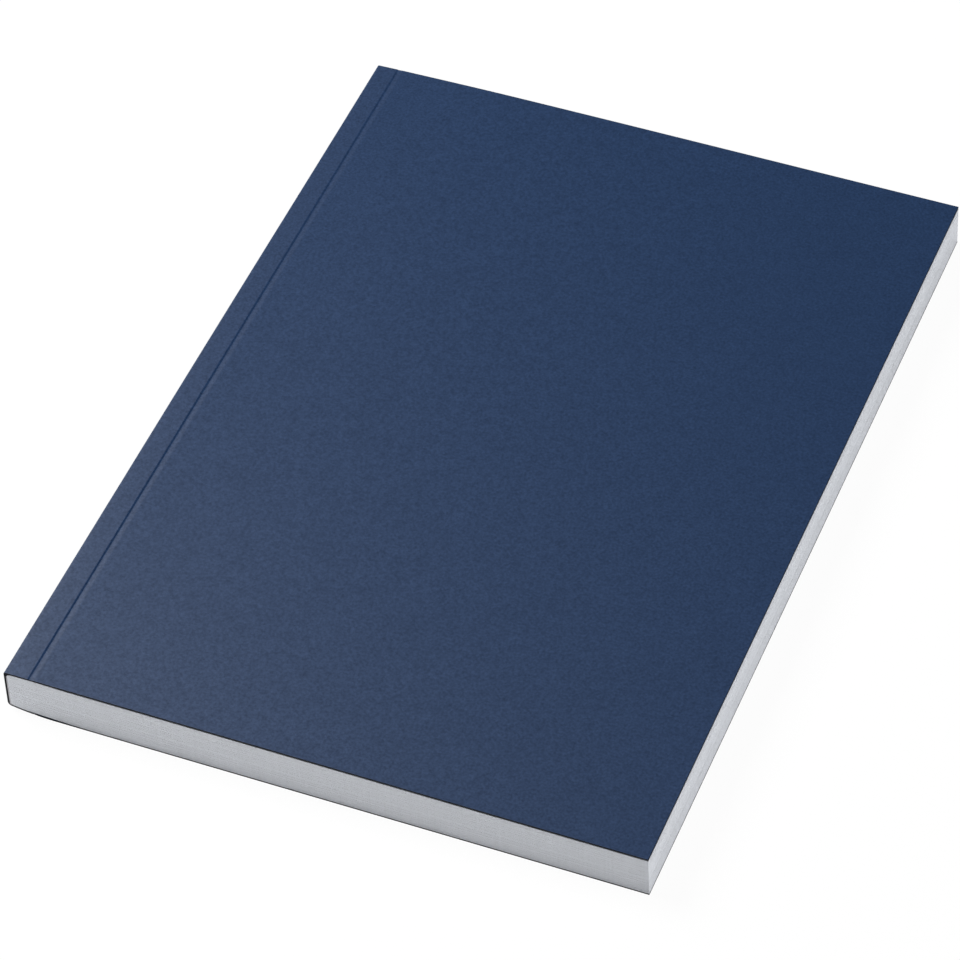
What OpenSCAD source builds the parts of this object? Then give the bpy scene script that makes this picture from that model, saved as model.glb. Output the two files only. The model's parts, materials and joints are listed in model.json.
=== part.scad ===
// Softcover notebook, perfect bound.
// One sheet of card wraps a block of trimmed leaves. Hot-melt glue holds the
// leaves together along the spine and ties the card to them. The card is
// scored beside the spine, front and back, and each cover opens at its score.
//
// The book lies on its back cover. X runs from the spine to the fore-edge,
// Y from the foot to the head, and Z up. The origin is the middle of the
// underside. Lengths are in millimetres.
//
// Every piece has one section from the foot to the head. Sections are drawn
// with the face of the spine on X = 0 and the underside on Y = 0.

/* [Format] */
// Width of the book, from the face of the spine to the fore-edge
book_w = 148; // [90:1:220]
// Height of the book, from the foot to the head
book_h = 210; // [120:1:310]

/* [Leaves] */
// Number of leaves in the block
leaf_count = 100; // [48:1:200]
// Thickness of one leaf
leaf_t = 0.108; // [0.08:0.001:0.16]
// How much rounder the block's corner is than the inside of the front fold
leaf_corner_extra = 0.85; // [0.4:0.05:1.2]

/* [Cover] */
// Thickness of the card
card_t = 0.35; // [0.25:0.01:0.45]
// Distance from the face of the spine to each score
hinge_w = 5.7; // [4:0.1:8]
// Width of the channel that a score presses into the card
score_w = 0.6; // [0.4:0.05:1]
// Depth of that channel
score_depth = 0.2; // [0.05:0.01:0.2]

/* [Spine] */
// Outer radius of the fold between the front and the spine
front_fold_r = 0.5; // [0.5:0.05:2]
// Outer radius of the fold between the spine and the back
back_fold_r = 1.1; // [1:0.05:2.5]
// Height by which the underside curls up at the spine
curl_h = 1.25; // [0.5:0.05:2]
// Distance from the spine over which it curls up
curl_w = 11; // [9:0.5:20]

/* [Glue] */
// Thickness of the glue on the leaves' bound edges
spine_glue_t = 0.4; // [0.2:0.05:1]
// Thickness of the glue between the outer leaves and the card
side_glue_t = 0.1; // [0.05:0.01:0.3]
// Bare strip between the side glue and the score's channel
glue_margin = 0.3; // [0.1:0.1:1]
// How much rounder the glue's corner is than the inside of the front fold
glue_corner_extra = 1.05; // [0.4:0.05:1.2]

/* [Colours] */
// Colour of the card
card_colour = "#33486a";
// Colour of the leaves
leaf_colour = "#ecedee";
// Colour of the glue
glue_colour = "#e4e2e4";

/* [Hidden] */
$fn = 96;

block_t = leaf_count * leaf_t;
// From the outer face of the card to the outer leaf
shell_t = card_t + side_glue_t;
book_t = block_t + 2 * shell_t;

// The underside curls up along an arc that is tangent to the table
curl_r = (curl_w ^ 2 + curl_h ^ 2) / (2 * curl_h);
curl_centre = [curl_w, curl_r];

// A score's channel is an arc about the line that the cover turns on, which
// lies just clear of the card's outer face
score_r = ((score_w / 2) ^ 2 + score_depth ^ 2) / (2 * score_depth);
score_lift = score_r - score_depth;

// The back score lies on the curl, square to the card there
score_tilt = asin((curl_w - hinge_w) / curl_r);
front_hinge = [hinge_w, book_t + score_lift];
back_hinge = curl_centre - (curl_r + score_lift) * [sin(score_tilt), cos(score_tilt)];

// The side glue ends short of the channel
glue_end = hinge_w - score_w / 2 - glue_margin;

// Longer than any cut that has to pass through a section
beyond = 2 * (book_w + curl_r);
// How far a corner's waste reaches, in radii of its rounding
waste_reach = 3;

// Runs a section from the foot to the head, in the book's own place
module foot_to_head() {
    translate([-book_w / 2, 0, 0])
        rotate([90, 0, 0])
            linear_extrude(height = book_h, center = true) children();
}

// What a corner loses when it is rounded about centre, between two directions
module corner_waste(centre, r, from, to) {
    middle = (from + to) / 2;
    translate(centre) difference() {
        polygon([
            [0, 0],
            waste_reach * r * [cos(from), sin(from)],
            2 * waste_reach * r * [cos(middle), sin(middle)],
            waste_reach * r * [cos(to), sin(to)]
        ]);
        circle(r);
    }
}

// The closed book's section, taken in by side from the faces of the covers
// and by edge from the face of the spine, out to reach
module section(side, edge, front_r, back_r, reach) {
    front_centre = [edge + front_r, book_t - side - front_r];
    // A circle that touches the spine's line and the curl's arc from inside
    back_x = edge + back_r;
    back_drop = sqrt((curl_r - side - back_r) ^ 2 - (curl_w - back_x) ^ 2);
    back_centre = [back_x, curl_r - back_drop];
    back_turn = 180 + atan2(back_drop, curl_w - back_x);
    difference() {
        union() {
            translate([curl_w, side])
                square([reach - curl_w, book_t - 2 * side]);
            intersection() {
                translate([edge, 0]) square([curl_w - edge, book_t - side]);
                translate(curl_centre) circle(curl_r - side);
            }
        }
        corner_waste(front_centre, front_r, 90, 180);
        corner_waste(back_centre, back_r, 180, back_turn);
    }
}

// The same section with its folds kept concentric, as card folds
module wrapped(inset, reach) {
    section(inset, inset, front_fold_r - inset, back_fold_r - inset, reach);
}

module leaves_section() {
    corner_r = front_fold_r - card_t + leaf_corner_extra;
    section(shell_t, card_t + spine_glue_t, corner_r, back_fold_r - shell_t, book_w);
}

// The leaves with the glue round them. The glue leaves a fine channel free
// along the inside of the front fold
module glued_section() {
    corner_r = front_fold_r - card_t + glue_corner_extra;
    section(card_t, card_t, corner_r, back_fold_r - card_t, book_w);
}

// The whole sheet of card, with both scores pressed into it
module card_section() {
    difference() {
        wrapped(0, book_w);
        wrapped(card_t, beyond);
        translate(front_hinge) circle(score_r);
        translate(back_hinge) circle(score_r);
    }
}

// All that lies on the fore-edge side of the front score
module front_side() {
    translate([hinge_w, book_t / 2]) square([beyond, book_t]);
}

// All that lies on the fore-edge side of the back score, which is square to
// the curled card
module back_side() {
    intersection() {
        translate(curl_centre) rotate(-score_tilt)
            translate([0, -beyond]) square(2 * beyond);
        translate([0, -book_t / 2]) square([beyond, book_t]);
    }
}

module page_block() {
    color(leaf_colour) foot_to_head() leaves_section();
}

module spine_glue() {
    color(glue_colour) foot_to_head() intersection() {
        difference() {
            glued_section();
            leaves_section();
        }
        square([glue_end, book_t]);
    }
}

module cover_spine() {
    color(card_colour) foot_to_head() difference() {
        card_section();
        front_side();
        back_side();
    }
}

module front_cover() {
    color(card_colour) foot_to_head() intersection() {
        card_section();
        front_side();
    }
}

module back_cover() {
    color(card_colour) foot_to_head() intersection() {
        card_section();
        back_side();
    }
}

page_block();
spine_glue();
cover_spine();
front_cover();
back_cover();
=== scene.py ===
# %% [markdown]
# # A softcover notebook
#
# The object is a perfect-bound notebook of A5 size. A block of writing-paper
# leaves is trimmed flush and glued along one side into a single sheet of
# dyed card. The card is scored beside the spine, and each cover opens there.
#
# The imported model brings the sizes, the places and the hinges. This script
# adds what the eye needs: the leaves one by one, the pressed score, the soft
# folds, and card and paper with their fibres.

# %% Load the frame
import json
import math

import bpy
from mathutils import Matrix, Vector


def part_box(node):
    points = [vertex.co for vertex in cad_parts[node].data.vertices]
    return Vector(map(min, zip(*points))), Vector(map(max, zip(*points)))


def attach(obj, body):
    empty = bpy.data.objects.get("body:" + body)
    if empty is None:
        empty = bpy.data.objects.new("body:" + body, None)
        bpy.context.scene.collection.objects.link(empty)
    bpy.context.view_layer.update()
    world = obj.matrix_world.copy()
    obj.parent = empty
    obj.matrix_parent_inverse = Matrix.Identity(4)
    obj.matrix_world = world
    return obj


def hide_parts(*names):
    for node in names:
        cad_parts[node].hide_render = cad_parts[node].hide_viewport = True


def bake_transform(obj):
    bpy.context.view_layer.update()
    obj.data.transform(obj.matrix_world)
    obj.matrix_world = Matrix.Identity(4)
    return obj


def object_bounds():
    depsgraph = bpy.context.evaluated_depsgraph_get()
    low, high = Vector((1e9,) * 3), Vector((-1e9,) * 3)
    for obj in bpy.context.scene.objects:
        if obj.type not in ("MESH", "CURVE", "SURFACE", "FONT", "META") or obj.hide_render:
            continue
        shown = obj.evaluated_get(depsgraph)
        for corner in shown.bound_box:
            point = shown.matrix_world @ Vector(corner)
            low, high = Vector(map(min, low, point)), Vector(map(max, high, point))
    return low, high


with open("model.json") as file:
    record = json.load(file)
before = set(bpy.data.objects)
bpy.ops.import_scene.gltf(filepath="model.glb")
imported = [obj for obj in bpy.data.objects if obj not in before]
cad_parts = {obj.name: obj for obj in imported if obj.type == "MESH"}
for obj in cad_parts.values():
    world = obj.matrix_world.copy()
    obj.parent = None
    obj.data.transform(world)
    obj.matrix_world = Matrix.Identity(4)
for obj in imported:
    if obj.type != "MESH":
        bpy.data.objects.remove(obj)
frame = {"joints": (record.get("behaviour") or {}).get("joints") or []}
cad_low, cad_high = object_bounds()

# %% [markdown]
# ## Sizes
#
# Whatever the frame can tell is read from it, so the looks follow the model
# if a size changes. Only what a box doesn't show is stated again: the radii of
# the folds, the curl of the underside, the depth of the scores and the number
# of leaves. The card is shown thicker across the spine than it is modelled,
# because its dark line is thicker there on the real book.

# %% Sizes from the frame
MM = 0.001

book_w, book_h, book_t = cad_high - cad_low
spine_x = cad_low.x
card_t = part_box("front_cover")[1].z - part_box("front_cover")[0].z
leaf_low, leaf_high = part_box("page_block")
glue_low, glue_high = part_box("spine_glue")
shell_t = book_t - leaf_high.z
spine_glue_t = leaf_low.x - glue_low.x
glue_reach = glue_high.x - spine_x

hinge_at = {j["name"]: Vector(j["pos_m"]) for j in frame["joints"]}
front_hinge = hinge_at["front_cover_hinge"]
back_hinge = hinge_at["back_cover_hinge"]

print(f"book {book_w / MM:.1f} x {book_h / MM:.1f} x {book_t / MM:.2f} mm")
print(f"card {card_t / MM:.2f} mm, side glue {(shell_t - card_t) / MM:.2f} mm")

# %% Sizes of the folds, the curl and the scores
front_fold_r = 0.5 * MM
back_fold_r = 1.1 * MM
leaf_corner_r = 1.0 * MM
glue_corner_r = 1.2 * MM
curl_h = 1.25 * MM
curl_w = 11 * MM
score_depth = 0.2 * MM
spine_card_t = 0.5 * MM
leaf_count = 100

curl_r = (curl_w**2 + curl_h**2) / (2 * curl_h)

# %% [markdown]
# ## The outline of a wrapped section
#
# Every piece of this book has one section from the foot to the head, and each
# wraps the next: card round glue round leaves. So one function draws them
# all. It walks from the fore-edge over the front, down the spine and back
# under the book. It always takes the same number of steps round a corner, so
# two outlines pair up point by point, and a wall is the strip between them.

# %% Points along an arc
def arc(centre, radius, start, stop, steps):
    """Points from one angle to another, in radians from +X towards +Z."""
    turn = (stop - start) / steps
    angles = [start + i * turn for i in range(steps + 1)]
    return [
        (centre[0] + radius * math.cos(a), centre[1] + radius * math.sin(a))
        for a in angles
    ]


def between(a, b, steps):
    """Points from a to b in even steps, both ends included."""
    return [tuple(Vector(a).lerp(Vector(b), i / steps)) for i in range(steps + 1)]


# %% The front and the back half of an outline
FOLD_STEPS = 10
SPINE_STEPS = 4


def front_half(side, edge, radius, stations):
    """From the stations on the front down to the middle of the spine."""
    top = book_t - side
    centre = (edge + radius, top - radius)
    flat = [(x, top) for x in stations]
    fold = arc(centre, radius, math.pi / 2, math.pi, FOLD_STEPS)
    spine = between(fold[-1], (edge, book_t / 2), SPINE_STEPS)
    return flat + fold + spine[1:]


def back_half(side, edge, radius, stations):
    """From the middle of the spine round the back fold to the stations."""
    centre_x = edge + radius
    drop = math.sqrt((curl_r - side - radius) ** 2 - (curl_w - centre_x) ** 2)
    centre = (centre_x, curl_r - drop)
    turn = math.pi + math.atan2(drop, curl_w - centre_x)
    spine = between((edge, book_t / 2), (edge, centre[1]), SPINE_STEPS)
    fold = arc(centre, radius, math.pi, turn, FOLD_STEPS)
    under = [(x, underside(x, side)) for x in stations if x > fold[-1][0]]
    return spine[:-1] + fold + under


def underside(x, side=0.0):
    """Height of the curled underside, taken in by side."""
    reach = max(curl_w - x, 0)
    return curl_r - math.sqrt((curl_r - side) ** 2 - reach**2)


print(f"the underside lifts {underside(0) / MM:.2f} mm at the spine")

# %% [markdown]
# ## How the book lies
#
# A glued block is thickest at its spine and a little thinner where its leaves
# end. This one is also lower at its head, most of all beside the spine, and it
# arches a little a third of the way across. At the head the strip beside the
# score leans down towards the spine. The score isn't quite square: it runs
# half a millimetre nearer to the spine at the head than at the foot. The front
# cover and the upper leaves are drawn up to a quarter of a millimetre towards
# the spine. All pieces pass through the same small settling, so they stay
# seated on each other.

# %% The settling of the whole book
fore_edge_sink = 0.2 * MM
head_sink = 0.25 * MM
head_drop = 0.19 * MM
head_crown = 0.25 * MM
sink_reach = 34 * MM
strip_fall = 0.08 * MM
score_skew = 0.48 * MM
fore_edge_slant = 0.24 * MM

# The head's sink begins a little on the foot's side of the middle
head_from = -0.1 * book_h
head_to = 0.5 * book_h
# Beside the score the skew is full, and it is gone farther out
score_x = front_hinge.x - spine_x
skew_full_from = 0.6 * score_x
skew_full_to = 1.4 * score_x
skew_gone = 3 * score_x
# s * (1 - s) ** 2 is 4 / 27 at its highest, and this brings that to 1
CROWN_SCALE = 27 / 4


def smooth(value, low, high):
    """0 below low, 1 above high, and an even rise between."""
    t = min(max((value - low) / (high - low), 0), 1)
    return t * t * (3 - 2 * t)


def settled(point):
    """Where a point of the straight book lies in the real one."""
    x, y, z = point
    from_spine = x - spine_x
    share = from_spine / book_w
    towards_head = smooth(y, head_from, head_to)
    by_spine = 1 - smooth(from_spine, 0, sink_reach)
    crown = CROWN_SCALE * share * (1 - share) ** 2 * head_crown
    at_head = head_drop + head_sink * by_spine - crown
    leaning = max(1 - from_spine / score_x, 0) * smooth(y, 0, head_to)
    sink = fore_edge_sink * share + towards_head * at_head + strip_fall * leaning
    by_score = smooth(from_spine, 0, skew_full_from)
    by_score *= 1 - smooth(from_spine, skew_full_to, skew_gone)
    skew = score_skew * by_score * y / book_h
    slant = fore_edge_slant * share * z / book_t
    return Vector((x - skew - slant, y, z * (1 - sink / book_t)))


head_of_spine = settled((spine_x, book_h / 2, book_t))
print(f"the head of the spine sinks {(book_t - head_of_spine.z) / MM:.2f} mm")

# %% [markdown]
# ## Meshes from outlines
#
# A wall is swept from the foot to the head: one ring of points per row, and
# faces between neighbouring rings. Rows lie closer together near the two cut
# ends. Faces on the cut ends and on the fore-edge get their own material
# slot, because cut card and cut paper look unlike their faces.

# %% Rows from the foot to the head
end_band = 0.12 * MM


def rows_along(steps):
    """Heights of the rows, with one close to each cut end."""
    inner = book_h - 2 * end_band
    middle = [-inner / 2 + inner * i / steps for i in range(steps + 1)]
    return [-book_h / 2] + middle + [book_h / 2]


# %% Put an object in the scene
def put(name, data):
    """A new object of the scene, which shows a mesh, lamp or camera."""
    made = bpy.data.objects.new(name, data)
    bpy.context.scene.collection.objects.link(made)
    return made


# %% Sweep a wall between two outlines
# The material slots of a wall, in their order
FACE, CUT = 0, 1


def sweep(name, outer_at, inner, rows, materials):
    """A closed wall between two outlines of equally many points.

    The outer one may differ from row to row, so it comes from a function.
    """
    points = []
    for y in rows:
        ring = outer_at(y) + inner[::-1]
        points += [settled((spine_x + x, y, z)) for x, z in ring]
    half, count = len(inner), len(ring)
    faces, slots = [], []
    for row in range(len(rows) - 1):
        for i in range(count):
            a = row * count + i
            b = row * count + (i + 1) % count
            faces.append((a, a + count, b + count, b))
            slots.append(CUT if i in (half - 1, count - 1) else FACE)
    last = (len(rows) - 1) * count
    for i in range(half - 1):
        a, b, c, d = i, i + 1, count - 2 - i, count - 1 - i
        faces.append((a, b, c, d))
        faces.append((last + d, last + c, last + b, last + a))
        slots += [CUT, CUT]
    mesh = bpy.data.meshes.new(name)
    mesh.from_pydata(points, [], faces)
    mesh.polygons.foreach_set("material_index", slots)
    for material in materials:
        mesh.materials.append(material)
    return put(name, mesh)


# %% Which edges of a cut are softened
joint_reach = 0.5 * MM


def is_joint(point):
    """Whether a point lies where the card's two halves meet on the spine."""
    in_middle = abs(point.z - book_t / 2) < joint_reach
    return in_middle and point.x < spine_x + 2 * spine_card_t


def mark_cut_edges(mesh):
    """Gives the edges between a face and a cut their weight for the bevel.

    The joint of the card's two halves stays sharp, so that it doesn't show.
    """
    beside = {}
    for polygon in mesh.polygons:
        for key in polygon.edge_keys:
            beside.setdefault(key, set()).add(polygon.material_index)
    weight = mesh.attributes.new("bevel_weight_edge", "FLOAT", "EDGE")
    for edge in mesh.edges:
        joint = all(is_joint(mesh.vertices[v].co) for v in edge.vertices)
        if len(beside[edge.key]) == 2 and not joint:
            weight.data[edge.index].value = 1


# %% Soften the cut edges and apply
cut_rounding = 0.04 * MM
SHARP_FROM = math.radians(38)


def plain_mesh(piece):
    """What an object's modifiers make of it, as a mesh of its own."""
    depsgraph = bpy.context.evaluated_depsgraph_get()
    return bpy.data.meshes.new_from_object(piece.evaluated_get(depsgraph))


def finish_mesh(piece, bevel=0.0):
    """Rounds the edges of the cut, applies it and shades the mesh smooth.

    The places of the points at rest are kept for the card's pattern.
    """
    if bevel:
        mark_cut_edges(piece.data)
        rounding = piece.modifiers.new("rounded_cut", "BEVEL")
        rounding.limit_method = "WEIGHT"
        rounding.width = bevel
        rounding.segments = 2
        rounding.material = CUT
    result = plain_mesh(piece)
    piece.modifiers.clear()
    piece.data = result
    result.polygons.foreach_set("use_smooth", [True] * len(result.polygons))
    result.set_sharp_from_angle(angle=SHARP_FROM)
    rest = result.attributes.new("rest", "FLOAT_VECTOR", "POINT")
    rest.data.foreach_set("vector", [c for v in result.vertices for c in v.co])
    print(f"{piece.name}: {len(result.polygons)} faces")


# %% [markdown]
# ## Colours and nodes
#
# Colours are written as they look on a screen, and Blender wants them linear.
# One helper adds a node, sets its options and fills its sockets, and every
# tree below is made with it. Another fills the stops of a colour ramp.

# %% Colour and node helpers
def linear(hex_colour):
    """An sRGB hex colour as Blender's linear RGBA."""
    values = [int(hex_colour[i : i + 2], 16) / 255 for i in (1, 3, 5)]
    lit = [v / 12.92 if v <= 0.04045 else ((v + 0.055) / 1.055) ** 2.4 for v in values]
    return (*lit, 1.0)


def add(tree, kind, options=None, inputs=None):
    """Adds a node. An input is filled with a value or linked to a socket."""
    node = tree.nodes.new(kind)
    for name, value in (options or {}).items():
        setattr(node, name, value)
    for name, value in (inputs or {}).items():
        if isinstance(value, bpy.types.NodeSocket):
            tree.links.new(value, node.inputs[name])
        else:
            node.inputs[name].default_value = value
    return node


def new_material(name):
    """An empty material and its tree."""
    material = bpy.data.materials.new(name)
    material.use_nodes = True
    material.node_tree.nodes.clear()
    return material, material.node_tree


def set_ramp(ramp, *stops):
    """Fills a colour ramp's stops, each one a place and a hex colour."""
    for element, (place, hex_colour) in zip(ramp.color_ramp.elements, stops):
        element.position = place
        element.color = linear(hex_colour)


# %% [markdown]
# ## Card
#
# The cover is uncoated card of about 280 grams, dyed in the pulp, so its cut
# edge has no white core. Dyed pulp never takes colour evenly. Short
# fibres show as a fine light and dark grain, and the pulp itself lies in soft
# clouds a few millimetres across. The surface is matt with a faint broad
# sheen, because the rollers have pressed it smooth. A pale fibre lies flat
# and shines a little more as well, so one shade drives both colour and sheen.
# The strip that the binding clamp has held is a touch glossier than the rest.

# %% Sizes of the card's grain
# A real fibre is a few hundredths of a millimetre wide, too fine to show. The
# grain and the fibres are drawn as coarse as they need to be to show.
cloud_size = 8.0 * MM
mottle_size = 2.4 * MM
grain_size = 0.6 * MM
fibre_size = 0.9 * MM
felt_size = 0.35 * MM
felt_height = 0.006 * MM
print(f"grain {grain_size / MM:.1f} mm, fibres {fibre_size / MM:.1f} mm")

# %% The card's clouds and grain
def pulp_shade(tree, at):
    """How light the dyed pulp is, as a factor of its colour."""
    cloud = add(tree, "ShaderNodeTexNoise", None,
                {"Vector": at, "Scale": 1 / cloud_size, "Detail": 1.0})
    mottle = add(tree, "ShaderNodeTexNoise", None,
                 {"Vector": at, "Scale": 1 / mottle_size, "Detail": 1.0})
    pulp = add(tree, "ShaderNodeMix", None,
               {"Factor": 0.7, "A": cloud.outputs["Fac"], "B": mottle.outputs["Fac"]})
    grain = add(tree, "ShaderNodeTexNoise", None,
                {"Vector": at, "Scale": 1 / grain_size, "Detail": 4.0, "Roughness": 0.65})
    grained = add(tree, "ShaderNodeMapRange", None,
                  {"Value": grain.outputs["Fac"], "From Min": 0.3, "From Max": 0.7,
                   "To Min": 0.71, "To Max": 1.25})
    clouded = add(tree, "ShaderNodeMapRange", None,
                  {"Value": pulp.outputs[0], "From Min": 0.25, "From Max": 0.75,
                   "To Min": 0.93, "To Max": 1.07})
    shade = add(tree, "ShaderNodeMath", {"operation": "MULTIPLY"},
                {0: grained.outputs["Result"], 1: clouded.outputs["Result"]})
    return shade.outputs[0]


# %% Pale fibres in the card
def pale_fibres(tree, at):
    """How much of a pale fibre shows. It lies where the noise is at half."""
    fibre = add(tree, "ShaderNodeTexNoise", None,
                {"Vector": at, "Scale": 1 / fibre_size, "Detail": 1.0, "Distortion": 1.6})
    ridge = add(tree, "ShaderNodeMath", {"operation": "SUBTRACT"},
                {0: fibre.outputs["Fac"], 1: 0.5})
    line = add(tree, "ShaderNodeMath", {"operation": "ABSOLUTE"}, {0: ridge.outputs[0]})
    hair = add(tree, "ShaderNodeMapRange", None,
               {"Value": line.outputs[0], "From Min": 0.0, "From Max": 0.045,
                "To Min": 1.0, "To Max": 0.0})
    pale = add(tree, "ShaderNodeMath", {"operation": "MULTIPLY"},
               {0: hair.outputs["Result"], 1: 0.08})
    return pale.outputs[0]


# %% The dyed card's face
strip_gloss = 0.37
cover_gloss = 0.33
gloss_change = 0.2 * MM


def dyed_card():
    """Uncoated dyed card, smooth from the rollers."""
    material, tree = new_material("dyed_card_face")
    at = add(tree, "ShaderNodeAttribute", {"attribute_name": "rest"}).outputs["Vector"]
    shade = pulp_shade(tree, at)
    toned = add(tree, "ShaderNodeVectorMath", {"operation": "SCALE"},
                {"Vector": linear("#0f2b4d")[:3], "Scale": shade})
    colour = add(tree, "ShaderNodeMix", {"data_type": "RGBA"},
                 {"Factor": pale_fibres(tree, at), "A": toned.outputs[0],
                  "B": linear("#274068")})
    across_cover = add(tree, "ShaderNodeSeparateXYZ", None, {"Vector": at}).outputs["X"]
    clamped = add(tree, "ShaderNodeMapRange", None,
                  {"Value": across_cover, "From Min": front_hinge.x - gloss_change,
                   "From Max": front_hinge.x + gloss_change,
                   "To Min": strip_gloss, "To Max": cover_gloss})
    gloss = add(tree, "ShaderNodeMath", {"operation": "MULTIPLY"},
                {0: shade, 1: clamped.outputs["Result"]})
    felt = add(tree, "ShaderNodeTexNoise", None,
               {"Vector": at, "Scale": 1 / felt_size, "Detail": 3.0})
    bump = add(tree, "ShaderNodeBump", None,
               {"Height": felt.outputs["Fac"], "Distance": felt_height, "Strength": 1.0})
    surface = add(tree, "ShaderNodeBsdfPrincipled", None,
                  {"Base Color": colour.outputs["Result"], "Roughness": 0.49,
                   "IOR": 1.5, "Specular IOR Level": gloss.outputs[0],
                   "Normal": bump.outputs["Normal"]})
    add(tree, "ShaderNodeOutputMaterial", None, {"Surface": surface.outputs["BSDF"]})
    print(f"{material.name}: {len(tree.nodes)} nodes")
    return material


card_face = dyed_card()

# %% The dyed card's cut edge, with painted shade
cut_fibre = 0.12 * MM
cut_tooth = 0.02 * MM


def cut_card():
    """The card's guillotined edge: open fibres and rougher. Its near black is partly the
    dye and partly painted shade.
    """
    material, tree = new_material("dyed_card_cut_and_shade")
    at = add(tree, "ShaderNodeAttribute", {"attribute_name": "rest"}).outputs["Vector"]
    pulp = add(tree, "ShaderNodeTexNoise", None,
               {"Vector": at, "Scale": 1 / cut_fibre, "Detail": 3.0})
    dye_and_shade = add(tree, "ShaderNodeValToRGB", None, {"Fac": pulp.outputs["Fac"]})
    # Near black: partly the dark dye, partly painted shade along the cut edge
    set_ramp(dye_and_shade, (0.3, "#07090d"), (0.75, "#0e131b"))
    bump = add(tree, "ShaderNodeBump", None,
               {"Height": pulp.outputs["Fac"], "Distance": cut_tooth, "Strength": 1.0})
    surface = add(tree, "ShaderNodeBsdfPrincipled", None,
                  {"Base Color": dye_and_shade.outputs["Color"], "Roughness": 0.85,
                   "Specular IOR Level": 0.25, "Normal": bump.outputs["Normal"]})
    add(tree, "ShaderNodeOutputMaterial", None, {"Surface": surface.outputs["BSDF"]})
    print(f"{material.name}: {len(tree.nodes)} nodes")
    return material


card_cut = cut_card()

# %% [markdown]
# ## The cover
#
# One sheet of card makes both covers and the spine. Each cover swings on its
# own hinge, and a sheet can bend across one hinge only, so the sheet is made
# in two halves that meet in the middle of the spine, where it is flat and the
# joint can't be seen.
#
# The score is a narrow channel that a steel rule pressed into the card. Its
# flank on the spine's side is steep and lies in shade. On the cover's side
# the card springs back in a slope over a millimetre wide, and the light
# catches there. The rule bit deeper at the foot than at the head.

# %% The pressed score
flank_w = 0.45 * MM
slope_w = 1.3 * MM
rule_offset = 0.17 * MM
fade_to_head = 0.15
end_fade = 1.5 * MM
# What is left of the depth at the cut ends, and how the flank widens
END_SHARE = 0.45
FLANK_GROWTH = 0.3


def pressed(along, y):
    """How deep the card is pressed in, at a distance past the hinge's line."""
    along -= rule_offset
    towards_head = 0.5 + y / book_h
    depth = score_depth * (1 - fade_to_head * towards_head)
    depth *= END_SHARE + (1 - END_SHARE) * smooth(book_h / 2 - abs(y), 0, end_fade)
    if along < 0:
        flank = flank_w * (1 + FLANK_GROWTH * towards_head)
        return depth * smooth(along, -flank, 0)
    return depth * (1 - smooth(along, 0, slope_w))


print(f"the score is {pressed(rule_offset, 0) / MM:.2f} mm deep half way up")

# %% Stations across a cover
flank_step = flank_w / 10
SLOPE_STEPS = 10
PANEL_STEPS = 40
# Shares of the way from the spine to the first of the fine steps
BOUND_SHARES = (0.36, 0.52, 0.68, 0.84)
# Above 1, so that the points lie farther apart towards the fore-edge
PANEL_SPREAD = 1.4


def across(score):
    """Distances from the spine at which the card gets a point, outwards."""
    fine = [score + flank_step * i for i in range(-15, 12)]
    bound = [fine[0] * share for share in BOUND_SHARES]
    past_fine = 1.5 * slope_w - flank_w
    slope = [fine[-1] + past_fine * i / SLOPE_STEPS for i in range(1, SLOPE_STEPS + 1)]
    rest = book_w - end_band - slope[-1]
    panel = [
        slope[-1] + rest * (i / PANEL_STEPS) ** PANEL_SPREAD
        for i in range(1, PANEL_STEPS + 1)
    ]
    return bound + fine + slope + panel + [book_w]


stations = across(score_x)
print(f"{len(stations)} stations, the finest {flank_step / MM:.3f} mm apart")

# %% The front half of the card
rows = rows_along(48)
outward = stations[::-1]
front_face = front_half(0, 0, front_fold_r, outward)


def front_outer(y):
    """The outer face of the front at a height, sunk along its score."""
    return [
        (x, z - pressed(x - score_x, y)) if z > book_t - card_t / 2 else (x, z)
        for x, z in front_face
    ]


front_inner = front_half(card_t, spine_card_t, front_fold_r - card_t, outward)
front_card = sweep("front_card", front_outer, front_inner, rows, [card_face, card_cut])
finish_mesh(front_card, bevel=cut_rounding)

# %% The back half of the card
back_score_x = back_hinge.x - spine_x
back_stations = across(back_score_x)
back_face = back_half(0, 0, back_fold_r, back_stations)


def back_outer(y):
    """The outer face of the back at a height, sunk square to the curl."""
    sunk = []
    for x, z in back_face:
        if z < book_t / 4:
            lean = math.asin(max(curl_w - x, 0) / curl_r)
            depth = pressed(x - back_score_x, y)
            x, z = x + depth * math.sin(lean), z + depth * math.cos(lean)
        sunk.append((x, z))
    return sunk


back_inner = back_half(card_t, spine_card_t, back_fold_r - card_t, back_stations)
back_card = sweep("back_card", back_outer, back_inner, rows, [card_face, card_cut])
finish_mesh(back_card, bevel=cut_rounding)

# %% [markdown]
# ## The glue
#
# Hot-melt adhesive holds the leaves: a thin layer on their bound edges, and a
# thinner film that turns over onto the outer leaves and ties them to the
# card. It is cut flush with the book, so a thin line shows at the head and
# the foot. It is half clear and a little waxy, and the blue card dulls it. Its
# grey is partly painted shade beside the card. The card's dark shows through
# the thin film, and the film is painted darker still as painted shade in the
# seam between card and leaves.

# %% Hot-melt adhesive, with painted shade
milk_size = 1.2 * MM
# Where the painted shade on the thin film begins, and where it is full
film_shade_from = spine_x + 0.9 * MM
film_shade_full = spine_x + 1.8 * MM


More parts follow.
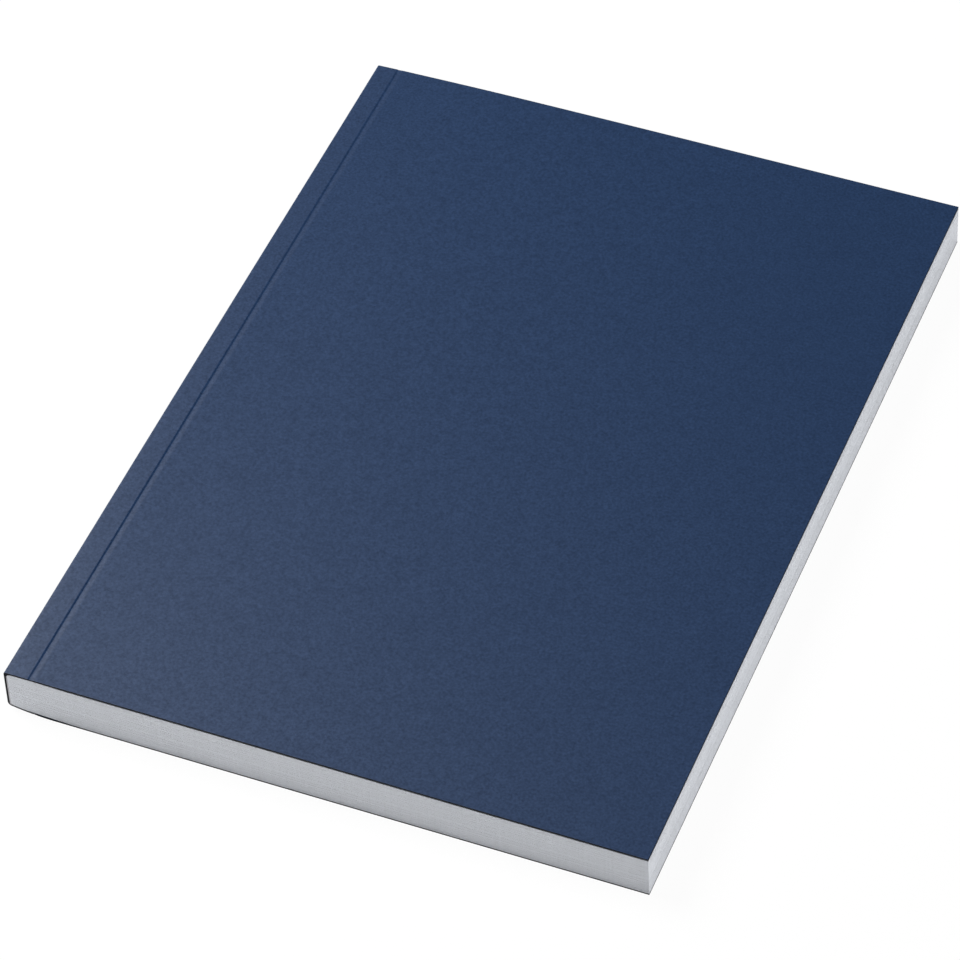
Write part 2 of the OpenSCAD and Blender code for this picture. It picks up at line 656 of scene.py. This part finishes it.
def hot_melt():
    """Half-clear hot-melt adhesive, cut by the guillotine, with painted shade on it."""
    material, tree = new_material("hot_melt_adhesive_and_shade")
    at = add(tree, "ShaderNodeTexCoord").outputs["Object"]
    milk = add(tree, "ShaderNodeTexNoise", None,
               {"Vector": at, "Scale": 1 / milk_size, "Detail": 2.0})
    tone = add(tree, "ShaderNodeValToRGB", None, {"Fac": milk.outputs["Fac"]})
    # A grey that is partly the half-clear glue and partly painted shade beside the card
    set_ramp(tone, (0.3, "#a09fa4"), (0.7, "#b6b5ba"))
    across_book = add(tree, "ShaderNodeSeparateXYZ", None, {"Vector": at}).outputs["X"]
    # The thin film is painted near black: the card shows through it, and the rest is
    # painted shade in the seam
    film_shade = add(tree, "ShaderNodeMapRange", None,
               {"Value": across_book, "From Min": film_shade_from, "From Max": film_shade_full})
    colour = add(tree, "ShaderNodeMix", {"data_type": "RGBA"},
                 {"Factor": film_shade.outputs["Result"], "A": tone.outputs["Color"],
                  "B": linear("#1b202b")})
    bump = add(tree, "ShaderNodeBump", None,
               {"Height": milk.outputs["Fac"], "Distance": cut_tooth})
    surface = add(tree, "ShaderNodeBsdfPrincipled", None,
                  {"Base Color": colour.outputs["Result"], "Roughness": 0.42,
                   "IOR": 1.48, "Normal": bump.outputs["Normal"]})
    add(tree, "ShaderNodeOutputMaterial", None, {"Surface": surface.outputs["BSDF"]})
    print(f"{material.name}: {len(tree.nodes)} nodes")
    return material


glue = hot_melt()

# %% The glue's two halves as one wall
FILM_SHARES = (0.45, 0.6, 0.8, 1.0)


def glue_outline(side, edge, front_r, back_r):
    """The whole way round, from the end of one side film to the other's."""
    film = [glue_reach * share for share in FILM_SHARES]
    front = front_half(side, edge, front_r, film[::-1])
    back = back_half(side, edge, back_r, film)
    return front + back[1:]


glue_outer = glue_outline(card_t, spine_card_t, glue_corner_r, back_fold_r - card_t)
binding_glue = sweep(
    "binding_glue",
    lambda y: glue_outer,
    glue_outline(shell_t, card_t + spine_glue_t, leaf_corner_r, back_fold_r - shell_t),
    rows_along(24),
    [glue, glue],
)
finish_mesh(binding_glue)

# %% [markdown]
# ## Paper
#
# The leaves are white uncoated writing paper of 80 grams. A sheet is nearly
# even: a soft cloudiness and a very fine tooth. Its face is kept under full
# white, because an open page lies square to the lamp. Its cut edge is another
# matter. The guillotine leaves fine marks down the block, and no two leaves
# come out quite alike in tone.

# %% The face of a leaf
# The tooth is as fine as it is in truth, and only dulls the light
paper_cloud = 3 * MM
tooth_size = 0.25 * MM
tooth_height = 0.004 * MM


def writing_paper():
    """White uncoated writing paper."""
    material, tree = new_material("writing_paper_face")
    at = add(tree, "ShaderNodeTexCoord").outputs["Object"]
    cloud = add(tree, "ShaderNodeTexNoise", None,
                {"Vector": at, "Scale": 1 / paper_cloud, "Detail": 4.0})
    tone = add(tree, "ShaderNodeValToRGB", None, {"Fac": cloud.outputs["Fac"]})
    set_ramp(tone, (0.3, "#cdced1"), (0.7, "#d6d7d9"))
    tooth = add(tree, "ShaderNodeTexNoise", None,
                {"Vector": at, "Scale": 1 / tooth_size, "Detail": 3.0})
    bump = add(tree, "ShaderNodeBump", None,
               {"Height": tooth.outputs["Fac"], "Distance": tooth_height})
    surface = add(tree, "ShaderNodeBsdfPrincipled", None,
                  {"Base Color": tone.outputs["Color"], "Roughness": 0.8,
                   "Specular IOR Level": 0.3, "Normal": bump.outputs["Normal"]})
    add(tree, "ShaderNodeOutputMaterial", None, {"Surface": surface.outputs["BSDF"]})
    print(f"{material.name}: {len(tree.nodes)} nodes")
    return material


paper_face = writing_paper()

# %% The trimmed edge of the leaves
knife_mark = 0.45 * MM
knife_run = 30 * MM
knife_depth = 0.01 * MM


def trimmed_paper():
    """Leaf edges as the guillotine leaves them."""
    material, tree = new_material("writing_paper_cut")
    at = add(tree, "ShaderNodeTexCoord").outputs["Object"]
    stretch = add(tree, "ShaderNodeMapping", None,
                  {"Vector": at,
                   "Scale": (1 / knife_mark, 1 / knife_mark, 1 / knife_run)})
    marks = add(tree, "ShaderNodeTexNoise", None,
                {"Vector": stretch.outputs["Vector"], "Scale": 1.0, "Detail": 3.0})
    leaf = add(tree, "ShaderNodeAttribute", {"attribute_name": "leaf_tone"})
    tone = add(tree, "ShaderNodeMapRange", None,
               {"Value": leaf.outputs["Fac"], "To Min": 0.93, "To Max": 1.03})
    cut = add(tree, "ShaderNodeMapRange", None,
              {"Value": marks.outputs["Fac"], "From Min": 0.3, "From Max": 0.7,
               "To Min": 0.97, "To Max": 1.02})
    shade = add(tree, "ShaderNodeMath", {"operation": "MULTIPLY"},
                {0: tone.outputs["Result"], 1: cut.outputs["Result"]})
    colour = add(tree, "ShaderNodeVectorMath", {"operation": "SCALE"},
                 {"Vector": linear("#dee1e7")[:3], "Scale": shade.outputs[0]})
    bump = add(tree, "ShaderNodeBump", None,
               {"Height": marks.outputs["Fac"], "Distance": knife_depth})
    surface = add(tree, "ShaderNodeBsdfPrincipled", None,
                  {"Base Color": colour.outputs[0], "Roughness": 0.9,
                   "Specular IOR Level": 0.2, "Normal": bump.outputs["Normal"]})
    add(tree, "ShaderNodeOutputMaterial", None, {"Surface": surface.outputs["BSDF"]})
    print(f"{material.name}: {len(tree.nodes)} nodes")
    return material


paper_cut = trimmed_paper()

# %% [markdown]
# ## The leaves
#
# A hundred leaves are one thing repeated, so Geometry Nodes stack them. A
# leaf starts as a thin box of unit size. Its copies are placed on a line, made
# real, and then every point is moved to where its leaf lies: evenly between
# the flat front and the curled underside, from the glue out to the fore-edge.
# A little air is left between leaves, and each is trimmed a hair differently.
# Just past the glue the curled back cover stands off the last leaf, which
# rests on it farther out. The front cover stands a little off the first leaf.
#
# The corners and the curl are all arcs, so a small group works out how far an
# arc falls away at a distance from its crown, and it is used three times.

# %% A group for the fall of an arc
def socket(tree, name, kind, value=None, in_out="INPUT"):
    """Adds a named socket to a tree's interface."""
    made = tree.interface.new_socket(name, in_out=in_out, socket_type=kind)
    if value is not None:
        made.default_value = value
    return made


arc_fall = bpy.data.node_groups.new("Arc fall", "GeometryNodeTree")
socket(arc_fall, "Distance", "NodeSocketFloat")
socket(arc_fall, "Radius", "NodeSocketFloat")
socket(arc_fall, "Fall", "NodeSocketFloat", in_out="OUTPUT")
given = add(arc_fall, "NodeGroupInput").outputs
run = add(arc_fall, "ShaderNodeClamp", None,
          {"Value": given["Distance"], "Min": 0.0, "Max": given["Radius"]})
run_squared = add(arc_fall, "ShaderNodeMath", {"operation": "POWER"},
                  {0: run.outputs[0], 1: 2.0})
radius_squared = add(arc_fall, "ShaderNodeMath", {"operation": "POWER"},
                     {0: given["Radius"], 1: 2.0})
rest_squared = add(arc_fall, "ShaderNodeMath", {"operation": "SUBTRACT"},
                   {0: radius_squared.outputs[0], 1: run_squared.outputs[0]})
rest_height = add(arc_fall, "ShaderNodeMath", {"operation": "SQRT"},
                  {0: rest_squared.outputs[0]})
fall = add(arc_fall, "ShaderNodeMath", {"operation": "SUBTRACT"},
           {0: given["Radius"], 1: rest_height.outputs[0]})
add(arc_fall, "NodeGroupOutput", None, {"Fall": fall.outputs[0]})

# %% The stack's named inputs
stack = bpy.data.node_groups.new("Leaf stack", "GeometryNodeTree")
socket(stack, "Geometry", "NodeSocketGeometry")
LEAF_INPUTS = {
    "Leaves": ("NodeSocketInt", leaf_count),
    "Width": ("NodeSocketFloat", book_w),
    "Height": ("NodeSocketFloat", book_h),
    "Top": ("NodeSocketFloat", book_t - shell_t),
    "Bottom": ("NodeSocketFloat", shell_t),
    "Bound edge": ("NodeSocketFloat", card_t + spine_glue_t),
    "Front corner": ("NodeSocketFloat", leaf_corner_r),
    "Back corner": ("NodeSocketFloat", back_fold_r - shell_t),
    "Curl reach": ("NodeSocketFloat", curl_w),
    "Curl radius": ("NodeSocketFloat", curl_r - shell_t),
    "Cover lift": ("NodeSocketFloat", 0.2 * MM),
    "Leaf sag": ("NodeSocketFloat", shell_t - card_t - 0.01 * MM),
    "Last gap": ("NodeSocketFloat", 0.22 * MM),
    "Air": ("NodeSocketFloat", 0.07),
    "Trim": ("NodeSocketFloat", 0.03 * MM),
    "Drift": ("NodeSocketFloat", 0.012),
    "Seed": ("NodeSocketInt", 7),
    "Face": ("NodeSocketMaterial", paper_face),
    "Cut": ("NodeSocketMaterial", paper_cut),
}
for name, (kind, value) in LEAF_INPUTS.items():
    socket(stack, name, kind, value if kind != "NodeSocketMaterial" else None)
socket(stack, "Geometry", "NodeSocketGeometry", in_out="OUTPUT")
size = add(stack, "NodeGroupInput").outputs

# %% One leaf, copied along a line and made real
LEAF_X, LEAF_Y = 22, 12
leaf_box = add(stack, "GeometryNodeMeshCube", None,
               {"Size": (1, 1, 1), "Vertices X": LEAF_X, "Vertices Y": LEAF_Y,
                "Vertices Z": 2})
normal = add(stack, "GeometryNodeInputNormal")
upright = add(stack, "ShaderNodeSeparateXYZ", None, {"Vector": normal.outputs[0]})
tilt = add(stack, "ShaderNodeMath", {"operation": "ABSOLUTE"}, {0: upright.outputs["Z"]})
is_face = add(stack, "FunctionNodeCompare", {"operation": "GREATER_THAN"},
              {0: tilt.outputs[0], 1: 0.5})
marked = add(stack, "GeometryNodeStoreNamedAttribute",
             {"data_type": "BOOLEAN", "domain": "FACE"},
             {"Geometry": leaf_box.outputs["Mesh"], "Name": "leaf_face",
              "Value": is_face.outputs["Result"]})
own_place = add(stack, "GeometryNodeInputPosition")
kept = add(stack, "GeometryNodeStoreNamedAttribute",
           {"data_type": "FLOAT_VECTOR", "domain": "POINT"},
           {"Geometry": marked.outputs["Geometry"], "Name": "share",
            "Value": own_place.outputs[0]})
line = add(stack, "GeometryNodeMeshLine", None, {"Count": size["Leaves"]})
number = add(stack, "GeometryNodeInputIndex")
numbered = add(stack, "GeometryNodeStoreNamedAttribute",
               {"data_type": "INT", "domain": "POINT"},
               {"Geometry": line.outputs["Mesh"], "Name": "leaf",
                "Value": number.outputs[0]})
copies = add(stack, "GeometryNodeInstanceOnPoints", None,
             {"Points": numbered.outputs["Geometry"],
              "Instance": kept.outputs["Geometry"]})
real = add(stack, "GeometryNodeRealizeInstances", None,
           {"Geometry": copies.outputs["Instances"]})

# %% Where each point lies in its leaf and in the stack
share = add(stack, "GeometryNodeInputNamedAttribute", {"data_type": "FLOAT_VECTOR"},
            {"Name": "share"})
part = add(stack, "ShaderNodeSeparateXYZ", None, {"Vector": share.outputs["Attribute"]})
leaf = add(stack, "GeometryNodeInputNamedAttribute", {"data_type": "INT"},
           {"Name": "leaf"}).outputs["Attribute"]
solid = add(stack, "ShaderNodeMath", {"operation": "SUBTRACT"}, {0: 1.0, 1: size["Air"]})
in_leaf = add(stack, "ShaderNodeMath", {"operation": "MULTIPLY_ADD"},
              {0: part.outputs["Z"], 1: solid.outputs[0], 2: 0.5})
place = add(stack, "ShaderNodeMath", {"operation": "ADD"},
            {0: leaf, 1: in_leaf.outputs[0]})
even = add(stack, "ShaderNodeMath", {"operation": "DIVIDE"},
           {0: place.outputs[0], 1: size["Leaves"]})

# %% The leaves crowd a little here and gape a little there
crowding_at = add(stack, "ShaderNodeCombineXYZ", None,
                  {"X": part.outputs["X"], "Y": part.outputs["Y"],
                   "Z": even.outputs[0]})
crowding = add(stack, "ShaderNodeTexNoise", {"noise_dimensions": "3D"},
               {"Vector": crowding_at.outputs[0], "Scale": 6.0, "Detail": 1.0})
swing = add(stack, "ShaderNodeMapRange", None,
            {"Value": crowding.outputs["Fac"], "To Min": -1.0, "To Max": 1.0})
above = add(stack, "ShaderNodeMath", {"operation": "SUBTRACT"},
            {0: 1.0, 1: even.outputs[0]})
freedom = add(stack, "ShaderNodeMath", {"operation": "MULTIPLY"},
              {0: even.outputs[0], 1: above.outputs[0]})
drift = add(stack, "ShaderNodeMath", {"operation": "MULTIPLY"},
            {0: swing.outputs["Result"], 1: size["Drift"]})
shift = add(stack, "ShaderNodeMath", {"operation": "MULTIPLY"},
            {0: drift.outputs[0], 1: freedom.outputs[0]})
height_share = add(stack, "ShaderNodeMath", {"operation": "MULTIPLY_ADD"},
                   {0: shift.outputs[0], 1: 4.0, 2: even.outputs[0]}).outputs[0]

# %% The bound edge runs round both corners
spine_bottom = underside(card_t + spine_glue_t + back_fold_r - shell_t, shell_t)
bound_z = add(stack, "ShaderNodeMapRange", {"clamp": False},
              {"Value": height_share, "To Min": spine_bottom, "To Max": size["Top"]})
front_crown = add(stack, "ShaderNodeMath", {"operation": "SUBTRACT"},
                  {0: size["Top"], 1: size["Front corner"]})
past_front = add(stack, "ShaderNodeMath", {"operation": "SUBTRACT"},
                 {0: bound_z.outputs["Result"], 1: front_crown.outputs[0]})
front_fall = add(stack, "GeometryNodeGroup", {"node_tree": arc_fall},
                 {"Distance": past_front.outputs[0], "Radius": size["Front corner"]})
back_crown = add(stack, "ShaderNodeMath", {"operation": "ADD"},
                 {0: spine_bottom, 1: size["Back corner"]})
past_back = add(stack, "ShaderNodeMath", {"operation": "SUBTRACT"},
                {0: back_crown.outputs[0], 1: bound_z.outputs["Result"]})
back_fall = add(stack, "GeometryNodeGroup", {"node_tree": arc_fall},
                {"Distance": past_back.outputs[0], "Radius": size["Back corner"]})
deeper = add(stack, "ShaderNodeMath", {"operation": "MAXIMUM"},
             {0: front_fall.outputs["Fall"], 1: back_fall.outputs["Fall"]})
start_x = add(stack, "ShaderNodeMath", {"operation": "ADD"},
              {0: size["Bound edge"], 1: deeper.outputs[0]})

# %% From the bound edge to the trimmed edges
trimmed_off = add(stack, "FunctionNodeRandomValue", {"data_type": "FLOAT_VECTOR"},
                  {"Min": (0, 0, 0), "Max": (1, 1, 1), "ID": leaf, "Seed": size["Seed"]})
trims = add(stack, "ShaderNodeSeparateXYZ", None, {"Vector": trimmed_off.outputs[0]})
inwards = add(stack, "ShaderNodeMath", {"operation": "MULTIPLY"},
              {0: size["Trim"], 1: -1.0})
end_x = add(stack, "ShaderNodeMath", {"operation": "MULTIPLY_ADD"},
            {0: trims.outputs["X"], 1: inwards.outputs[0], 2: size["Width"]})
run_out = add(stack, "ShaderNodeMath", {"operation": "ADD"},
              {0: part.outputs["X"], 1: 0.5})
eased = add(stack, "ShaderNodeMath", {"operation": "POWER"},
            {0: run_out.outputs[0], 1: 2.0})
x_at = add(stack, "ShaderNodeMapRange", {"clamp": False},
           {"Value": eased.outputs[0], "To Min": start_x.outputs[0],
            "To Max": end_x.outputs[0]})
trim_y = add(stack, "ShaderNodeMath", {"operation": "MULTIPLY"},
             {0: trims.outputs["Y"], 1: size["Trim"]})
leaf_h = add(stack, "ShaderNodeMath", {"operation": "MULTIPLY_ADD"},
             {0: trim_y.outputs[0], 1: -2.0, 2: size["Height"]})
y_at = add(stack, "ShaderNodeMath", {"operation": "MULTIPLY"},
           {0: part.outputs["Y"], 1: leaf_h.outputs[0]})

# %% How high the glued underside lies
to_curl = add(stack, "ShaderNodeMath", {"operation": "SUBTRACT"},
              {0: size["Curl reach"], 1: x_at.outputs["Result"]})
curl_fall = add(stack, "GeometryNodeGroup", {"node_tree": arc_fall},
                {"Distance": to_curl.outputs[0], "Radius": size["Curl radius"]})
glued_z = add(stack, "ShaderNodeMath", {"operation": "ADD"},
              {0: size["Bottom"], 1: curl_fall.outputs["Fall"]})

# %% What opens and sinks past the glue
# Distances from the spine here are in widths of the side glue
past_glue = add(stack, "ShaderNodeMapRange", {"interpolation_type": "SMOOTHSTEP"},
                {"Value": x_at.outputs["Result"], "From Min": glue_reach,
                 "From Max": 3 * glue_reach}).outputs["Result"]
sagged = add(stack, "ShaderNodeMath", {"operation": "MULTIPLY"},
             {0: past_glue, 1: size["Leaf sag"]})
lifted = add(stack, "ShaderNodeMath", {"operation": "MULTIPLY"},
             {0: past_glue, 1: size["Cover lift"]})
gap_opens = add(stack, "ShaderNodeMapRange", {"interpolation_type": "SMOOTHSTEP"},
                {"Value": x_at.outputs["Result"], "From Min": 0.8 * glue_reach,
                 "From Max": 1.5 * glue_reach, "To Min": 0.0, "To Max": size["Last gap"]})
gap_shuts = add(stack, "ShaderNodeMapRange", {"interpolation_type": "SMOOTHSTEP"},
                {"Value": x_at.outputs["Result"], "From Min": 2 * glue_reach,
                 "From Max": 4 * glue_reach, "To Min": 1.0, "To Max": 0.0})
last_gap = add(stack, "ShaderNodeMath", {"operation": "MULTIPLY"},
               {0: gap_opens.outputs["Result"], 1: gap_shuts.outputs["Result"]})

# %% From the curled underside to the flat top
resting_z = add(stack, "ShaderNodeMath", {"operation": "SUBTRACT"},
                {0: glued_z.outputs[0], 1: sagged.outputs[0]})
low_z = add(stack, "ShaderNodeMath", {"operation": "ADD"},
            {0: resting_z.outputs[0], 1: last_gap.outputs[0]})
free_top = add(stack, "ShaderNodeMath", {"operation": "SUBTRACT"},
               {0: size["Top"], 1: lifted.outputs[0]})
z_at = add(stack, "ShaderNodeMapRange", {"clamp": False},
           {"Value": height_share, "To Min": low_z.outputs[0],
            "To Max": free_top.outputs[0]})
target = add(stack, "ShaderNodeCombineXYZ", None,
             {"X": x_at.outputs["Result"], "Y": y_at.outputs[0],
              "Z": z_at.outputs["Result"]})
placed = add(stack, "GeometryNodeSetPosition", None,
             {"Geometry": real.outputs["Geometry"], "Position": target.outputs[0]})

# %% The tone and the materials of each leaf
leaf_shade = add(stack, "FunctionNodeRandomValue", {"data_type": "FLOAT"},
                 {"Min": 0.0, "Max": 1.0, "ID": leaf, "Seed": size["Seed"]})
# A random node keeps one pair of range sockets for each kind of value
toned = add(stack, "GeometryNodeStoreNamedAttribute",
            {"data_type": "FLOAT", "domain": "POINT"},
            {"Geometry": placed.outputs["Geometry"], "Name": "leaf_tone",
             "Value": leaf_shade.outputs[1]})
faces_only = add(stack, "GeometryNodeInputNamedAttribute", {"data_type": "BOOLEAN"},
                 {"Name": "leaf_face"}).outputs["Attribute"]
cut_set = add(stack, "GeometryNodeSetMaterial", None,
              {"Geometry": toned.outputs["Geometry"], "Material": size["Cut"]})
face_set = add(stack, "GeometryNodeSetMaterial", None,
               {"Geometry": cut_set.outputs["Geometry"], "Selection": faces_only,
                "Material": size["Face"]})
add(stack, "NodeGroupOutput", None, {"Geometry": face_set.outputs["Geometry"]})
print(f"leaf stack tree: {len(stack.nodes)} nodes")

# %% Stack the leaves and turn them into a plain mesh
def stack_leaves():
    """Runs the tree once and returns the leaves as one plain mesh."""
    carrier = put("carrier", bpy.data.meshes.new("carrier"))
    modifier = carrier.modifiers.new("Leaf stack", "NODES")
    modifier.node_group = stack
    named = {s.name: s.identifier for s in stack.interface.items_tree
             if s.in_out == "INPUT"}
    for name, (kind, value) in LEAF_INPUTS.items():
        modifier[named[name]] = value
    mesh = plain_mesh(carrier)
    bpy.data.objects.remove(carrier)
    return put("leaves", mesh)


leaves = stack_leaves()
for vertex in leaves.data.vertices:
    vertex.co = settled(vertex.co + Vector((spine_x, 0, 0)))
leaves.data.update()
for axis, i in (("x", 0), ("y", 1), ("z", 2)):
    places = [v.co[i] / MM for v in leaves.data.vertices]
    print(f"leaves in {axis}: {min(places):.3f} to {max(places):.3f} mm")
print(f"leaves: {len(leaves.data.polygons)} faces")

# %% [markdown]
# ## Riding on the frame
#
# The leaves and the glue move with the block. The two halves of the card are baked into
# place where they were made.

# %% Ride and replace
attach(leaves, "block")
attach(binding_glue, "block")
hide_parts("page_block")
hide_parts("spine_glue")

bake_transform(front_card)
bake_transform(back_card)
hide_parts("front_cover", "cover_spine")
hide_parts("back_cover", "cover_spine")

# %% [markdown]
# ## Camera
#
# The camera stands a metre off with a long lens, at the fore-edge side of the
# foot, and looks down along the book. It leans slightly to one side.

# %% The camera
camera_at = Vector((287.79, -680.72, 770.01)) * MM
look_azimuth = math.radians(-23.3416)
look_down = math.radians(46.3484)
lean = math.radians(-2.2706)
focal_px = 4709.5
frame_px = 960

ahead = Vector((
    math.sin(look_azimuth) * math.cos(look_down),
    math.cos(look_azimuth) * math.cos(look_down),
    -math.sin(look_down),
))
level = ahead.cross(Vector((0, 0, 1))).normalized()
upright_dir = level.cross(ahead)
right = level * math.cos(lean) + upright_dir * math.sin(lean)
up = right.cross(ahead)

camera_data = bpy.data.cameras.new("camera")
camera_data.sensor_width = 36
camera_data.lens = focal_px * camera_data.sensor_width / frame_px
camera = put("camera", camera_data)
turned = Matrix((right, up, -ahead)).transposed()
camera.matrix_world = Matrix.Translation(camera_at) @ turned.to_4x4()
bpy.context.scene.camera = camera
print(f"lens {camera_data.lens:.1f} mm")

# %% [markdown]
# ## Studio
#
# A soft lamp stands nearly a metre off on the spine's side. The camera faces
# it, and its wide sheen on the matt card is strongest at the foot of the spine
# and falls off across the cover, as in the photo. A second lamp stands farther
# off and low on the other side and lights the cut leaves. The room adds a
# little even light. The floor is white and takes the book's shadow. For the
# camera alone it is lifted towards pure white, so no light has to be added to
# the book for that.

# %% Soft lamps
lamp_side = 0.5


def soft_lamp(name, place, power):
    """A square area lamp at a place, turned towards the book."""
    data = bpy.data.lights.new(name, "AREA")
    data.shape = "SQUARE"
    data.size = lamp_side
    data.energy = power
    lamp = put(name, data)
    facing = (-Vector(place)).to_track_quat("-Z", "Y").to_matrix().to_4x4()
    lamp.matrix_world = Matrix.Translation(place) @ facing
    print(f"{name}: {power} W at {Vector(place).length:.2f} m")


soft_lamp("sheen_lamp", (-0.62, 0.10, 0.73), 12.7)
soft_lamp("edge_lamp", (1.4, -0.24, 0.3), 9.6)

# %% The room
room_level = 0.19
world = bpy.data.worlds.new("room")
world.use_nodes = True
world.node_tree.nodes.clear()
seen = add(world.node_tree, "ShaderNodeLightPath").outputs["Is Camera Ray"]
room_light = add(world.node_tree, "ShaderNodeMapRange", None,
                 {"Value": seen, "To Min": room_level, "To Max": 1.0})
sky = add(world.node_tree, "ShaderNodeBackground", None,
          {"Color": (1, 1, 1, 1), "Strength": room_light.outputs["Result"]})
add(world.node_tree, "ShaderNodeOutputWorld", None, {"Surface": sky.outputs[0]})
bpy.context.scene.world = world

# %% The floor
floor_half = 4.0
floor_lift = 0.955


def white_floor():
    """A large white sheet on the ground that keeps the shadow."""
    material, tree = new_material("white_paper_sweep")
    at = add(tree, "ShaderNodeTexCoord").outputs["Object"]
    mottle = add(tree, "ShaderNodeTexNoise", None, {"Vector": at, "Scale": 3.0})
    tone = add(tree, "ShaderNodeMapRange", None,
               {"Value": mottle.outputs["Fac"], "To Min": 0.93, "To Max": 0.95})
    matt = add(tree, "ShaderNodeBsdfDiffuse", None, {"Color": tone.outputs["Result"]})
    glow = add(tree, "ShaderNodeEmission", None, {"Color": (1, 1, 1, 1), "Strength": 1.0})
    seen = add(tree, "ShaderNodeLightPath").outputs["Is Camera Ray"]
    lift = add(tree, "ShaderNodeMath", {"operation": "MULTIPLY"},
               {0: seen, 1: floor_lift})
    both = add(tree, "ShaderNodeMixShader", None,
               {0: lift.outputs[0], 1: matt.outputs[0], 2: glow.outputs[0]})
    add(tree, "ShaderNodeOutputMaterial", None, {"Surface": both.outputs[0]})
    mesh = bpy.data.meshes.new("floor")
    corners = [(x * floor_half, y * floor_half, 0) for x, y in
               ((-1, -1), (1, -1), (1, 1), (-1, 1))]
    mesh.from_pydata(corners, [], [(0, 1, 2, 3)])
    mesh.materials.append(material)
    put("floor", mesh)


white_floor()
bpy.context.scene.view_settings.view_transform = "Standard"
